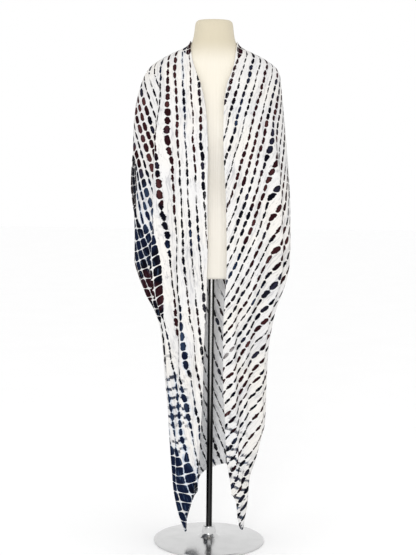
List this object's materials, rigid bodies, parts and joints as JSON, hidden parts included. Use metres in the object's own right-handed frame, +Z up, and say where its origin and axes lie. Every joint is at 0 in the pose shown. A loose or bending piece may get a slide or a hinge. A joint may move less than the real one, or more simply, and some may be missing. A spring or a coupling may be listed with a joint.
{
  "type": "kimono coat on a dress form",
  "caption": "Long open kimono coat with batwing sleeves and pointed side tails, shown on a limbless dress form with a chrome pole and a round base.",
  "frame": {"origin": "on the floor, at the middle of the stand's round base", "axes": "+Z up along the pole, -Y the way the coat's front faces, +X the wearer's left"},
  "size_m": [0.4807, 0.33, 1.557],
  "materials": {
    "coat_cloth": "thin matt crepe, off-white, tie-dyed with rows of indigo and brown marks",
    "form_jersey": "cream knitted jersey",
    "stand_chrome": "polished chrome plate"
  },
  "bodies": {
    "root": {"front_right": "coat_cloth", "front_left": "coat_cloth", "back": "coat_cloth", "form_torso": "form_jersey", "stand_pole": "stand_chrome", "stand_base": "stand_chrome"}
  },
  "joints": []
}
